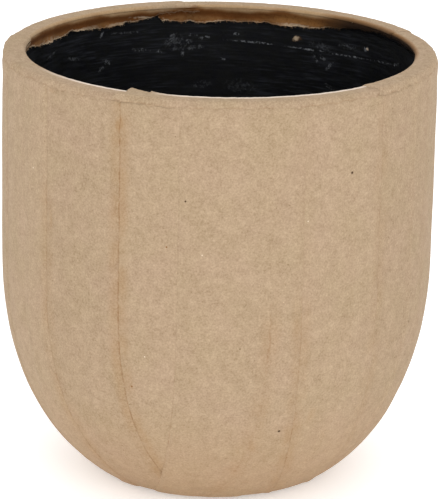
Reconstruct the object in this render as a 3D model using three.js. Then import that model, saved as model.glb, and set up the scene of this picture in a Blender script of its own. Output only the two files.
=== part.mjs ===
// Round plant pot: a moulded paper-pulp bowl, lined black and waterproof inside, clad in kraft paper.
// Fifteen upright strips of paper cover the wall, five torn strips finish the rim and a disc covers
// the underside. Nothing on it moves.
//
// Millimetres, +Z up. The origin is on the ground at the pot's axis, and the front faces -Y.
// An azimuth is measured from the front, growing towards +X, so it grows to the viewer's right.

import * as THREE from 'three';

// Overall sizes, measured over the paper
const POT_RADIUS = 140;
const POT_HEIGHT = 280;
const BASE_RADIUS = 81;

// The wall is straight above this height, and curves in below it like a super-ellipse
const DOME_HEIGHT = 150;
const DOME_FULLNESS = 2.29;

// Rounded edges, over the paper at the shoulder and on the bowl itself elsewhere
const SHOULDER_RADIUS = 5.2;
const BASE_EDGE_RADIUS = 5.5;
const MOUTH_EDGE_RADIUS = 1.5;

// The bowl's wall, and the lip that stands in from it all round the mouth
const BOWL_WALL = 9;
const BOWL_FLOOR = 10;
const LIP_OVERHANG = 3.9;
const LIP_FACE_DEPTH = 3;
const LINER_THICKNESS = 1;

// Kraft paper, and the glue line under each layer of it
const PAPER = 0.4;
const GLUE_GAP = 0.3;
const LAYER = PAPER + GLUE_GAP;

// Upright strips: all of one width, laid one after another leftwards round the pot
const STRIP_COUNT = 15;
const STRIP_WIDTH = 78;
const FIRST_STRIP_AZIMUTH = -17.5;
const TAB_LENGTH = 15;
// How far each strip leans at the base edge, in degrees, in the order of laying
const STRIP_LEANS = [0, 5, 1, -3, 4, 2, -5, 3, -1, 4, -4, 2, 3, -5, -6];
// Uneven leans crowd some laps together, so the room for them allows this many layers more
const SPARE_LAYERS = 0.3;

// Rim strips: torn from the same paper and folded over the lip
const RIM_STRIP_COUNT = 5;
const RIM_LAP = 34;
const RIM_FIRST_JOINT = -21;
// The outer edge ends part of the way round the shoulder, in degrees above the straight wall
const RIM_SKIRT_ANGLE = 26;
// How far each strip's flap reaches beyond the lip's inner face, at even steps from its left end to its
// right end
const RIM_FLAP_LENGTHS = [
  [3, 2, 2.5, 3.5, 3, 2, 1.5, 2, 1.5],
  [1, 1, 1, 1, 1, 1, 1, 1, 1],
  [1, 1.5, 3.2, 7.7, 9.8, 10, 9.8, 9.8, 9],
  [1.5, 3.9, 6.8, 8.7, 6.8, 9.2, 7, 4, 3],
  [4, 3.5, 5, 4, 3, 2.5, 3.5, 3, 3],
];
// A torn edge wanders in and out by waves that don't repeat within the pot: length and share of depth
const RIM_TEAR_DEPTH = 0.8;
const RIM_TEAR_WAVES = [[70, 0.5], [27, 0.3], [13.5, 0.2]];
// The glue lets go of the flaps' torn ends, which curl away from the wall on this radius
const RIM_CURL_RADIUS = 28;
// A flap bends where the lip meets the wall if it reaches at least this far past there
const RIM_BEND_REACH = 1;

// Cover under the base, which stops short of the rounded edge
const BASE_DISC_INSET = 7.5;
const BASE_DISC_THICKNESS = 1.2;

// Facets: the most that a flat facet may fall short of a round surface
const FACET_SAG = 0.17;
const DOME_STEPS = 7;
const SHOULDER_STEPS = 2;
const BASE_EDGE_STEPS = 2;
const MOUTH_STEPS = 2;

const KRAFT = new THREE.MeshStandardMaterial({ color: '#c0a585', roughness: 0.92, metalness: 0 });
const RIM_KRAFT = new THREE.MeshStandardMaterial({ color: '#c4a98a', roughness: 0.92, metalness: 0 });
const PULP = new THREE.MeshStandardMaterial({ color: '#9d8b72', roughness: 0.95, metalness: 0 });
const LINER_BLACK = new THREE.MeshStandardMaterial({ color: '#141517', roughness: 0.55, metalness: 0 });

const radians = THREE.MathUtils.degToRad;

// The angle that one facet may span on a circle, so that it keeps to FACET_SAG
function facetAngle(radius) {
  return 2 * Math.acos(1 - FACET_SAG / radius);
}

// Lines in the pot's half section, as points { r, z } with a normal that keeps offsets parallel
function line(points) {
  const normals = points.slice(1).map((point, i) => {
    const along = new THREE.Vector2(point[0] - points[i][0], point[1] - points[i][1]).normalize();
    return new THREE.Vector2(along.y, -along.x);
  });
  return points.map(([r, z], i) => {
    const before = normals[Math.max(i - 1, 0)];
    const after = normals[Math.min(i, normals.length - 1)];
    const normal = before.clone().add(after).normalize();
    normal.divideScalar(normal.dot(after));
    return { r, z, nr: normal.x, nz: normal.y };
  });
}

function offset(section, distance) {
  return section.map(({ r, z, nr, nz }) => [r + distance * nr, z + distance * nz]);
}

function arc(centreR, centreZ, radius, fromDegrees, toDegrees, steps) {
  return Array.from({ length: steps + 1 }, (_, i) => {
    const angle = radians(THREE.MathUtils.lerp(fromDegrees, toDegrees, i / steps));
    return [centreR + radius * Math.cos(angle), centreZ + radius * Math.sin(angle)];
  });
}

// A point part of the way along a section line, by its length along the line
function pointAlong(section, lengths, distance) {
  let i = 1;
  while (i < section.length - 1 && lengths[i] < distance) i += 1;
  const t = (distance - lengths[i - 1]) / (lengths[i] - lengths[i - 1]);
  const [a, b] = [section[i - 1], section[i]];
  const mix = (key) => THREE.MathUtils.lerp(a[key], b[key], t);
  return { r: mix('r'), z: mix('z'), nr: mix('nr'), nz: mix('nz') };
}

function runningLengths(section) {
  const lengths = [0];
  section.slice(1).forEach(({ r, z }, i) => {
    lengths.push(lengths[i] + Math.hypot(r - section[i].r, z - section[i].z));
  });
  return lengths;
}

// Room that the glued paper takes, outwards from what it is glued on to its outermost face
const stripPitch = 2 * Math.PI / STRIP_COUNT;
function stripStack(radius) {
  const layersBelow = STRIP_WIDTH / radius / stripPitch + SPARE_LAYERS;
  return GLUE_GAP + layersBelow * LAYER + PAPER;
}
const rimPitch = 2 * Math.PI / RIM_STRIP_COUNT;
const rimSpan = rimPitch + RIM_LAP / POT_RADIUS;
const rimStack = GLUE_GAP + rimSpan / rimPitch * LAYER + PAPER;
const wallStack = stripStack(POT_RADIUS);
const baseStack = stripStack(BASE_RADIUS - BASE_EDGE_RADIUS);

// Levels and radii of the bowl under its paper
const lipTop = POT_HEIGHT - rimStack;
const ledgeTop = lipTop - wallStack;
const bossBottom = BASE_DISC_THICKNESS + GLUE_GAP;
const tabCeiling = bossBottom + baseStack;
const bowlRadius = POT_RADIUS - wallStack;
const bowlBaseRadius = BASE_RADIUS - baseStack;
const shoulderRadius = SHOULDER_RADIUS - wallStack;
const innerWallRadius = bowlRadius - BOWL_WALL;
const mouthRadius = innerWallRadius - LIP_OVERHANG;
const shoulderCentre = [bowlRadius - shoulderRadius, ledgeTop - shoulderRadius];

// The super-ellipse of the dome, from the straight wall (turn 0) to the base (turn domeEnd)
const domeDepth = (DOME_HEIGHT - tabCeiling)
  / (1 - (bowlBaseRadius / bowlRadius) ** DOME_FULLNESS) ** (1 / DOME_FULLNESS);
const domeEnd = Math.acos((bowlBaseRadius / bowlRadius) ** (DOME_FULLNESS / 2));
function domePoint(turn) {
  const r = bowlRadius * Math.cos(turn) ** (2 / DOME_FULLNESS);
  const z = DOME_HEIGHT - domeDepth * Math.sin(turn) ** (2 / DOME_FULLNESS);
  const slope = new THREE.Vector2(
    (r / bowlRadius) ** (DOME_FULLNESS - 1) / bowlRadius,
    -(((DOME_HEIGHT - z) / domeDepth) ** (DOME_FULLNESS - 1)) / domeDepth,
  ).normalize();
  return { r, z, nr: slope.x, nz: slope.y };
}

// Where the rounded base edge meets the dome: its centre lies one radius above the tabs' level
const HALVINGS = 50;
function findBaseEdge() {
  let [low, high] = [0, domeEnd];
  for (let i = 0; i < HALVINGS; i += 1) {
    const middle = (low + high) / 2;
    const { z, nz } = domePoint(middle);
    if (z - BASE_EDGE_RADIUS * nz > tabCeiling + BASE_EDGE_RADIUS) low = middle;
    else high = middle;
  }
  const { r, nr, nz } = domePoint(low);
  return {
    turn: low,
    centre: [r - BASE_EDGE_RADIUS * nr, tabCeiling + BASE_EDGE_RADIUS],
    degrees: THREE.MathUtils.radToDeg(Math.atan2(nz, nr)),
  };
}
const baseEdge = findBaseEdge();
const foldRadius = baseEdge.centre[0];
const tabEnd = foldRadius - TAB_LENGTH;

const domePoints = Array.from({ length: DOME_STEPS + 1 }, (_, i) => {
  const { r, z } = domePoint(baseEdge.turn * (1 - i / DOME_STEPS));
  return [r, z];
});
const baseEdgePoints = arc(
  ...baseEdge.centre, BASE_EDGE_RADIUS, -90, baseEdge.degrees, BASE_EDGE_STEPS,
);
const shoulderPoints = arc(...shoulderCentre, shoulderRadius, 0, 90, SHOULDER_STEPS);

// The bowl's outer face, which the upright strips are glued on: from the inner end of the tabs under
// the base, round the base edge, up the wall and over the shoulder to the end of the ledge in the lip
const ledgeEnd = (shoulderCentre[0] + mouthRadius) / 2;
const outerFace = line([
  [tabEnd, tabCeiling],
  ...baseEdgePoints,
  ...domePoints.slice(1),
  ...shoulderPoints,
  [ledgeEnd, ledgeTop],
]);

// The bowl's inner face, from the middle of the floor up to the underside of the lip
const floorTop = tabCeiling + BOWL_FLOOR;
const lipFaceBottom = lipTop - LIP_FACE_DEPTH;
const lipUnderside = lipFaceBottom - LIP_OVERHANG;
function innerDome() {
  const drawnIn = offset(line(domePoints), -BOWL_WALL);
  const first = Math.max(drawnIn.findIndex(([, z]) => z > floorTop), 1);
  const [[lowR, lowZ], [highR, highZ]] = drawnIn.slice(first - 1, first + 1);
  const floorRadius = THREE.MathUtils.mapLinear(floorTop, lowZ, highZ, lowR, highR);
  return [[floorRadius, floorTop], ...drawnIn.slice(first, -1), [innerWallRadius, DOME_HEIGHT]];
}
// The faces of the floor and the wall that the liner covers, seen from inside the pot
const liningFace = line([
  [innerWallRadius, lipUnderside - GLUE_GAP],
  ...innerDome().reverse(),
  [0, floorTop],
]);

// What the rim strips are glued on: the ends of the upright strips round the shoulder, the top of
// the lip, its inner face and its underside, and then the liner
const shoulderFace = outerFace.slice(-SHOULDER_STEPS - 2, -1);
const mouthPoints = arc(
  mouthRadius + MOUTH_EDGE_RADIUS, lipTop - MOUTH_EDGE_RADIUS, MOUTH_EDGE_RADIUS, 90, 180, MOUTH_STEPS,
);
const linerRadius = innerWallRadius - GLUE_GAP - LINER_THICKNESS;
const rimFace = line([
  ...offset(shoulderFace, wallStack),
  ...mouthPoints,
  [mouthRadius, lipFaceBottom],
  [linerRadius, lipFaceBottom - (linerRadius - mouthRadius)],
  [linerRadius, DOME_HEIGHT],
]);

// A ring turned round the axis: its profile starts and ends on the axis
function turned(profile) {
  const points = profile.map(([r, z]) => new THREE.Vector2(r, z));
  const segments = Math.ceil(2 * Math.PI / facetAngle(POT_RADIUS));
  return new THREE.LatheGeometry(points, segments).rotateX(Math.PI / 2);
}

// A thin closed sheet. at(i, j, side) gives its corners: i runs to the viewer's right, j from the
// start of the section line to its end, and side is 0 on the glued face and 1 on the outer face.
function sheet(columns, rows, at) {
  const positions = [];
  const index = [];
  const corner = (i, j, side) => (side * (rows + 1) + j) * (columns + 1) + i;
  for (let side = 0; side <= 1; side += 1) {
    for (let j = 0; j <= rows; j += 1) {
      for (let i = 0; i <= columns; i += 1) positions.push(...at(i, j, side));
    }
  }
  const quad = (a, b, c, d) => index.push(a, b, c, a, c, d);
  for (let j = 0; j < rows; j += 1) {
    for (let i = 0; i < columns; i += 1) {
      quad(corner(i, j, 1), corner(i + 1, j, 1), corner(i + 1, j + 1, 1), corner(i, j + 1, 1));
      quad(corner(i, j, 0), corner(i, j + 1, 0), corner(i + 1, j + 1, 0), corner(i + 1, j, 0));
    }
    quad(corner(0, j, 0), corner(0, j, 1), corner(0, j + 1, 1), corner(0, j + 1, 0));
    quad(corner(columns, j, 1), corner(columns, j, 0), corner(columns, j + 1, 0), corner(columns, j + 1, 1));
  }
  for (let i = 0; i < columns; i += 1) {
    quad(corner(i, 0, 0), corner(i + 1, 0, 0), corner(i + 1, 0, 1), corner(i, 0, 1));
    quad(corner(i, rows, 1), corner(i + 1, rows, 1), corner(i + 1, rows, 0), corner(i, rows, 0));
  }
  const geometry = new THREE.BufferGeometry();
  geometry.setAttribute('position', new THREE.Float32BufferAttribute(positions, 3));
  geometry.setIndex(index);
  geometry.computeVertexNormals();
  return geometry;
}

// The place of a paper corner: a station on a section line, turned to its azimuth and lifted off
function placed(station, azimuth, lift) {
  const r = station.r + lift * station.nr;
  const z = station.z + lift * station.nz;
  return [r * Math.sin(azimuth), -r * Math.cos(azimuth), z];
}

// Side edges of the upright strips at a station. The strips keep their width as the pot narrows, so
// they lap more and more towards the base, and the tabs under it are cut to run straight inwards.
function stripEdges(order, station) {
  const radius = Math.max(station.r, foldRadius);
  const narrowing = (bowlRadius / radius - 1) / (bowlRadius / foldRadius - 1);
  const lean = radians(STRIP_LEANS[order % STRIP_LEANS.length]) * narrowing;
  const centre = radians(FIRST_STRIP_AZIMUTH) - order * stripPitch + lean;
  const halfSpan = STRIP_WIDTH / radius / 2;
  return { left: centre - halfSpan, right: centre + halfSpan };
}

// How many layers lie under a strip, counted smoothly: none at its left edge, and one more at the
// left edge of each strip to its right. The first strips have no more than those laid before them.
function layersUnder(order, station, azimuth) {
  let count = 0;
  while (azimuth > leftEdge(order - count - 1, station)) count += 1;
  const edge = leftEdge(order - count, station);
  const nextEdge = leftEdge(order - count - 1, station);
  const counted = count + (azimuth - edge) / (nextEdge - edge);
  return Math.min(counted, order) + closingLayers(order, station, azimuth);
}

// The left edge of any strip, also of one that is counted past the first, a full turn on
function leftEdge(order, station) {
  const turns = Math.floor(order / STRIP_COUNT);
  const { left } = stripEdges(order - turns * STRIP_COUNT, station);
  return left - turns * 2 * Math.PI;
}

// The last strips close the ring over the right edges of the first ones, and come down past them
const CLOSING_MARGIN = radians(2);
function closingLayers(order, station, azimuth) {
  if (order < STRIP_COUNT / 2) return 0;
  const fall = stripPitch / 2;
  const over = (first) => {
    const past = azimuth + 2 * Math.PI - stripEdges(first, station).right - CLOSING_MARGIN;
    return THREE.MathUtils.clamp(1 - past / fall, 0, 1);
  };
  return over(0) + over(1);
}

function kraftStrip(order) {
  const spanAtFold = STRIP_WIDTH / foldRadius;
  const columns = Math.ceil(spanAtFold / facetAngle(foldRadius));
  return sheet(columns, outerFace.length - 1, (i, j, side) => {
    const station = outerFace[j];
    const { left, right } = stripEdges(order, station);
    const azimuth = THREE.MathUtils.lerp(left, right, i / columns);
    const lift = GLUE_GAP + layersUnder(order, station, azimuth) * LAYER + side * PAPER;
    return placed(station, azimuth, lift);
  });
}

// How far a torn edge is out of line, as a share of the depth, at a distance along the rim
function tear(distance, start) {
  const wave = ([length, share]) => share * Math.sin(2 * Math.PI * distance / length + start);
  return RIM_TEAR_WAVES.map(wave).reduce((sum, height) => sum + height);
}

// How far a flap reaches at a share of its strip's length, between the lengths given for it
function flapLengthAt(lengths, share) {
  const place = share * (lengths.length - 1);
  const before = Math.min(Math.floor(place), lengths.length - 2);
  return THREE.MathUtils.lerp(lengths[before], lengths[before + 1], place - before);
}

// One rim strip. Its left end lies over the right end of its left neighbour.
const rimLengths = runningLengths(rimFace);
const skirtLength = RIM_SKIRT_ANGLE / 90 * rimLengths[SHOULDER_STEPS];
const faceEnd = SHOULDER_STEPS + MOUTH_STEPS + 2;
const undersideLength = rimLengths[faceEnd + 1] - rimLengths[faceEnd];

// Stations of a rim strip along the section: its torn outer edge, the corners of the lip, and the
// flap, which bends where the lip's underside meets the wall if it is long enough to reach there
function rimStations(along, number, flapLength) {
  const skirt = skirtLength + RIM_TEAR_DEPTH * tear(along, number);
  const flap = flapLength + RIM_TEAR_DEPTH * tear(along, number + 2);
  const bend = flap > undersideLength + RIM_BEND_REACH ? undersideLength : flap / 3;
  const flapStations = [bend, (bend + flap) / 2, flap];
  return [
    skirt,
    ...rimLengths.slice(1, faceEnd + 1),
    ...flapStations.map((distance) => rimLengths[faceEnd] + distance),
  ];
}

function rimStrip(number) {
  const start = radians(RIM_FIRST_JOINT) + number * rimPitch - (rimSpan - rimPitch) / 2;
  const columns = Math.ceil(rimSpan / facetAngle(POT_RADIUS));
  const flapLengths = RIM_FLAP_LENGTHS[number % RIM_FLAP_LENGTHS.length];
  const stations = Array.from({ length: columns + 1 }, (_, i) => {
    const along = (start + rimSpan * i / columns) * POT_RADIUS;
    return rimStations(along, number, flapLengthAt(flapLengths, i / columns));
  });
  return sheet(columns, stations[0].length - 1, (i, j, side) => {
    const azimuth = start + rimSpan * i / columns;
    const distance = stations[i][j];
    const layers = (1 - i / columns) * rimSpan / rimPitch;
    const curl = Math.max(distance - rimLengths[faceEnd], 0) ** 2 / (2 * RIM_CURL_RADIUS);
    const lift = GLUE_GAP + layers * LAYER + side * PAPER + curl;
    return placed(pointAlong(rimFace, rimLengths, distance), azimuth, lift);
  });
}

// The bowl: a raised boss under the middle of the base, the face under the paper, the lip with its
// ledge for the strips' ends, and the inside
function bowlProfile() {
  const bossRadius = tabEnd - GLUE_GAP;
  const lipInner = ledgeEnd - GLUE_GAP;
  return [
    [0, bossBottom],
    [bossRadius, bossBottom],
    [bossRadius, tabCeiling],
    ...outerFace.slice(1, -1).map(({ r, z }) => [r, z]),
    [lipInner, ledgeTop],
    [lipInner, lipTop],
    ...mouthPoints,
    [mouthRadius, lipFaceBottom],
    [innerWallRadius, lipUnderside],
    ...innerDome().reverse(),
    [0, floorTop],
  ];
}

function linerProfile() {
  return [
    ...offset(liningFace, GLUE_GAP).reverse(),
    ...offset(liningFace, GLUE_GAP + LINER_THICKNESS),
  ];
}

function baseDiscProfile() {
  const radius = foldRadius - BASE_DISC_INSET;
  return [
    [0, 0],
    [radius, 0],
    [radius, BASE_DISC_THICKNESS],
    [0, BASE_DISC_THICKNESS],
  ];
}

const pot = new THREE.Group();

function addPiece(name, geometry, material) {
  const piece = new THREE.Mesh(geometry, material);
  piece.name = name;
  pot.add(piece);
}

addPiece('bowl_core', turned(bowlProfile()), PULP);
addPiece('waterproof_liner', turned(linerProfile()), LINER_BLACK);
addPiece('base_disc', turned(baseDiscProfile()), KRAFT);
for (let order = 0; order < STRIP_COUNT; order += 1) {
  addPiece(`kraft_strip_${String(order + 1).padStart(2, '0')}`, kraftStrip(order), KRAFT);
}
for (let number = 0; number < RIM_STRIP_COUNT; number += 1) {
  addPiece(`rim_strip_${number + 1}`, rimStrip(number), RIM_KRAFT);
}

export default pot;
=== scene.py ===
# %% [markdown]
# # A round plant pot, clad in kraft paper
# The pot is a moulded bowl of paper pulp, brushed black and waterproof inside. Fifteen upright strips of
# kraft paper are glued round its wall, one after another, and five torn strips finish the rim.
# The construction comes first, as a fixed frame in metres. Everything below is fitted to it.

# %% Load the frame
import math

import bmesh
import bpy
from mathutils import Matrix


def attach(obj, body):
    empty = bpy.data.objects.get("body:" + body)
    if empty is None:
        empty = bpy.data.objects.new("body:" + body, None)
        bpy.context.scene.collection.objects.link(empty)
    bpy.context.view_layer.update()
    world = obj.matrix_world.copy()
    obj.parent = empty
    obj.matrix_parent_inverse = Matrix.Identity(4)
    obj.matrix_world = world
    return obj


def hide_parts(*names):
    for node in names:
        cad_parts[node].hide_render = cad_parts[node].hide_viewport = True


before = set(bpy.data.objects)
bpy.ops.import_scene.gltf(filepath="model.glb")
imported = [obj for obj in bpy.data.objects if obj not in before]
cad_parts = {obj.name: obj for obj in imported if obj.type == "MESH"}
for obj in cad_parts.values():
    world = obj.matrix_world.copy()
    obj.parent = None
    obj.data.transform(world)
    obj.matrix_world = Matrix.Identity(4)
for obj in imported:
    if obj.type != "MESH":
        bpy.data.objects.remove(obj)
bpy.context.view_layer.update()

scene = bpy.context.scene

# %% [markdown]
# ## The sizes of the pot
# A pot like this is drawn as one half section that is turned round an axis. The driving sizes repeat the
# construction's, in millimetres times MM, because the paper has to lie exactly where the frame puts it.

# %% Driving sizes
MM = 0.001
POT_RADIUS = 140 * MM
POT_HEIGHT = 280 * MM
BASE_RADIUS = 81 * MM
DOME_HEIGHT = 150 * MM
DOME_FULLNESS = 2.29
SHOULDER_RADIUS = 5.2 * MM
BASE_EDGE_RADIUS = 5.5 * MM
MOUTH_EDGE_RADIUS = 1.5 * MM
BOWL_WALL = 9 * MM
BOWL_FLOOR = 10 * MM
LIP_OVERHANG = 3.9 * MM
LIP_FACE_DEPTH = 3 * MM
LINER_THICKNESS = 1 * MM
DISC_THICKNESS = 1.2 * MM
DISC_INSET = 7.5 * MM
PAPER = 0.4 * MM
GLUE_GAP = 0.3 * MM
LAYER = PAPER + GLUE_GAP

STRIP_COUNT = 15
STRIP_WIDTH = 78 * MM
STRIP_PITCH = 2 * math.pi / STRIP_COUNT
FIRST_STRIP = math.radians(-17.5)
TAB_LENGTH = 15 * MM
STRIP_LEANS = [math.radians(lean) for lean in (0, 5, 1, -3, 4, 2, -5, 3, -1, 4, -4, 2, 3, -5, -6)]
SPARE_LAYERS = 0.3

RIM_COUNT = 5
RIM_PITCH = 2 * math.pi / RIM_COUNT
RIM_LAP = 34 * MM
RIM_SPAN = RIM_PITCH + RIM_LAP / POT_RADIUS
RIM_FIRST_JOINT = math.radians(-21)
RIM_SKIRT_ANGLE = 26

# %% Sizes that follow from them
def paper_stack(layers_below):
    """Room that the glued paper takes, out to its outermost face."""
    return GLUE_GAP + layers_below * LAYER + PAPER


rim_stack = paper_stack(RIM_SPAN / RIM_PITCH)
wall_stack = paper_stack(STRIP_WIDTH / POT_RADIUS / STRIP_PITCH + SPARE_LAYERS)
base_stack = paper_stack(STRIP_WIDTH / (BASE_RADIUS - BASE_EDGE_RADIUS) / STRIP_PITCH + SPARE_LAYERS)

lip_top = POT_HEIGHT - rim_stack
ledge_top = lip_top - wall_stack
boss_bottom = DISC_THICKNESS + GLUE_GAP
tab_ceiling = boss_bottom + base_stack
bowl_radius = POT_RADIUS - wall_stack
bowl_base_radius = BASE_RADIUS - base_stack
shoulder_radius = SHOULDER_RADIUS - wall_stack
inner_wall_radius = bowl_radius - BOWL_WALL
mouth_radius = inner_wall_radius - LIP_OVERHANG
liner_radius = inner_wall_radius - GLUE_GAP - LINER_THICKNESS
floor_top = tab_ceiling + BOWL_FLOOR
lip_face_bottom = lip_top - LIP_FACE_DEPTH
print("Bowl radius, mouth radius and lip height:", bowl_radius, mouth_radius, lip_top)

# %% [markdown]
# ## The half section
# Below 150 mm the wall curves in like a super-ellipse, a curve between an ellipse and a box. A formula
# gives it, and short arcs round its ends. Each outline is a list of (radius, height) points that runs
# with the solid on its left, so that a face turned from it looks outwards.

# %% Outlines of the bowl
def super_ellipse(turn):
    """A point of the dome and its outward normal, from the straight wall at turn 0 downwards."""
    fullness = DOME_FULLNESS
    taper = (1 - (bowl_base_radius / bowl_radius) ** fullness) ** (1 / fullness)
    depth = (DOME_HEIGHT - tab_ceiling) / taper
    r = bowl_radius * math.cos(turn) ** (2 / fullness)
    z = DOME_HEIGHT - depth * math.sin(turn) ** (2 / fullness)
    slope_r = (r / bowl_radius) ** (fullness - 1) / bowl_radius
    slope_z = -(((DOME_HEIGHT - z) / depth) ** (fullness - 1)) / depth
    steepness = math.hypot(slope_r, slope_z)
    return (r, z), (slope_r / steepness, slope_z / steepness)


def base_edge_turn():
    """Where a base edge of the given radius touches both the dome and the flat underside."""
    low, high = 0, math.acos((bowl_base_radius / bowl_radius) ** (DOME_FULLNESS / 2))
    for _ in range(50):
        middle = (low + high) / 2
        (_, z), (_, normal_z) = super_ellipse(middle)
        above = z - BASE_EDGE_RADIUS * normal_z > tab_ceiling + BASE_EDGE_RADIUS
        low, high = (middle, high) if above else (low, middle)
    return low


def arc(centre, radius, start, end, steps):
    """Points of an arc between two angles in degrees."""
    angles = [math.radians(start + (end - start) * i / steps) for i in range(steps + 1)]
    return [(centre[0] + radius * math.cos(a), centre[1] + radius * math.sin(a)) for a in angles]


def straight(start, end, steps):
    """Points evenly spaced on a line, without its ends."""
    shares = [i / steps for i in range(1, steps)]
    return [tuple(a + (b - a) * t for a, b in zip(start, end)) for t in shares]


# %% The outer face
edge_turn = base_edge_turn()
(edge_r, _), (edge_nr, edge_nz) = super_ellipse(edge_turn)
edge_centre = (edge_r - BASE_EDGE_RADIUS * edge_nr, tab_ceiling + BASE_EDGE_RADIUS)
edge_angle = math.degrees(math.atan2(edge_nz, edge_nr))
fold_radius = edge_centre[0]
tab_end = fold_radius - TAB_LENGTH
DOME_STEPS = 72
dome = [super_ellipse(edge_turn * (1 - i / DOME_STEPS))[0] for i in range(1, DOME_STEPS + 1)]
shoulder_centre = (bowl_radius - shoulder_radius, ledge_top - shoulder_radius)
ledge_end = (shoulder_centre[0] + mouth_radius) / 2
outer_face = [
    (tab_end, tab_ceiling),
    *straight((tab_end, tab_ceiling), (fold_radius, tab_ceiling), 6),
    *arc(edge_centre, BASE_EDGE_RADIUS, -90, edge_angle, 8),
    *dome,
    *straight((bowl_radius, DOME_HEIGHT), (bowl_radius, shoulder_centre[1]), 52),
    *arc(shoulder_centre, shoulder_radius, 0, 90, 8),
    *straight((shoulder_centre[0], ledge_top), (ledge_end, ledge_top), 3),
    (ledge_end, ledge_top),
]
print("The outer face has", len(outer_face), "points and ends at", outer_face[-1])

# %% Outlines of the inside and of the rim
def drawn_in(points, distance):
    """A line beside an outline, further in by the distance."""
    result = []
    for i, (r, z) in enumerate(points):
        before, after = points[max(i - 1, 0)], points[min(i + 1, len(points) - 1)]
        length = math.dist(before, after)
        normal_r, normal_z = (after[1] - before[1]) / length, (before[0] - after[0]) / length
        result.append((r - distance * normal_r, z - distance * normal_z))
    return result


def inner_face(distance, top):
    """The inside of the bowl, drawn in from its wall, from the height top down to the axis."""
    floor = floor_top + distance - BOWL_WALL
    wall = [point for point in drawn_in(dome, distance) if point[1] > floor + 0.5 * MM]
    wall_radius = bowl_radius - distance
    floor_corner = (wall[0][0] - 1.2 * MM, floor)
    return [
        (wall_radius, top),
        *straight((wall_radius, top), (wall_radius, DOME_HEIGHT), 70),
        *reversed(wall),
        floor_corner,
        *straight(floor_corner, (0, floor), 24),
        (0, floor),
    ]


# %% The outlines of the bowl and of its coat
lip_underside = lip_face_bottom - LIP_OVERHANG
mouth_centre = (mouth_radius + MOUTH_EDGE_RADIUS, lip_top - MOUTH_EDGE_RADIUS)
mouth_edge = arc(mouth_centre, MOUTH_EDGE_RADIUS, 90, 180, 6)
bowl_outline = [
    (0, boss_bottom),
    (tab_end - GLUE_GAP, boss_bottom),
    (tab_end - GLUE_GAP, tab_ceiling),
    *outer_face[1:-1],
    (ledge_end - GLUE_GAP, ledge_top),
    (ledge_end - GLUE_GAP, lip_top),
    *mouth_edge,
    (mouth_radius, lip_face_bottom),
    *inner_face(BOWL_WALL, lip_underside),
]
liner_top = lip_underside - GLUE_GAP
liner_face = inner_face(BOWL_WALL + GLUE_GAP + LINER_THICKNESS, liner_top)
liner_outline = [*reversed(inner_face(BOWL_WALL + GLUE_GAP, liner_top)), *liner_face]

# %% [markdown]
# Over the lip lies the face that the rim strips are glued on. Paper can't fold sharply, so it rounds the
# lip's lower corners, and it bridges the corner under the lip.

# %% The face under the rim strips
LIP_BEND_REACH = 1.6 * MM
WALL_BEND_REACH = 3.8 * MM
# The paper doesn't go all the way into the corner under the lip
BRIDGING = 1.9
FLAP_ROOM = 16 * MM


def eased_corner(before, corner, after, reach, steps):
    """A soft bend in place of a corner, from one side at this distance to the other."""
    ends = []
    for side in (before, after):
        share = reach / math.dist(corner, side)
        ends.append([c + (s - c) * share for c, s in zip(corner, side)])
    bend = []
    for i in range(steps + 1):
        t = i / steps
        weights = (1 - t) ** 2, 2 * t * (1 - t), t * t
        trios = zip(ends[0], corner, ends[1])
        bend.append(tuple(sum(w * p for w, p in zip(weights, trio)) for trio in trios))
    return bend


# %% From the shoulder to the end of the flap
lip_corner = (mouth_radius, lip_face_bottom)
wall_corner = (liner_radius, lip_face_bottom - BRIDGING * (liner_radius - mouth_radius))
flap_end = (liner_radius, wall_corner[1] - FLAP_ROOM)
to_lip_corner = [
    *arc(shoulder_centre, SHOULDER_RADIUS, 0, 90, 16),
    *straight((shoulder_centre[0], lip_top), mouth_edge[0], 16),
    *arc(mouth_centre, MOUTH_EDGE_RADIUS, 90, 180, 10),
]
rim_face = [
    *to_lip_corner,
    *eased_corner(mouth_edge[-1], lip_corner, wall_corner, LIP_BEND_REACH, 6),
    *eased_corner(lip_corner, wall_corner, flap_end, WALL_BEND_REACH, 8),
    flap_end,
]
lip_length = sum(math.dist(a, b) for a, b in zip(to_lip_corner, [*to_lip_corner[1:], lip_corner]))
skirt_length = math.radians(RIM_SKIRT_ANGLE) * SHOULDER_RADIUS
mouth_length = lip_length - LIP_FACE_DEPTH
mouth_start = lip_length - LIP_FACE_DEPTH + MOUTH_EDGE_RADIUS * (1 - math.pi / 2)
print("A rim strip covers", round((lip_length - skirt_length) / MM, 2), "mm up to the lip's lower corner")

# %% [markdown]
# ## A small kit for nodes
# Both the shapes and the finishes are node trees. One function adds a node to the tree on the bench, sets
# its options and links what feeds it. What a node gives can be added and multiplied like a number, which
# adds the nodes that do the sum, so a tree reads like the formula that it works out.

# %% Add a node
bench = {}


class Value:
    """What a node gives. A sum with it adds the node that works the sum out."""

    def __init__(self, node, socket=None):
        self.node = node
        self.socket = socket or next((output for output in node.outputs if output.enabled), None)

    def __getitem__(self, name):
        return Value(self.node, self.node.outputs[name])

    def __add__(self, other):
        return calc("ADD", self, other)

    def __sub__(self, other):
        return calc("SUBTRACT", self, other)

    def __rsub__(self, other):
        return calc("SUBTRACT", other, self)

    def __mul__(self, other):
        return calc("MULTIPLY", self, other)

    def __truediv__(self, other):
        return calc("DIVIDE", self, other)

    def __rtruediv__(self, other):
        return calc("DIVIDE", other, self)

    __radd__ = __add__
    __rmul__ = __mul__


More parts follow.
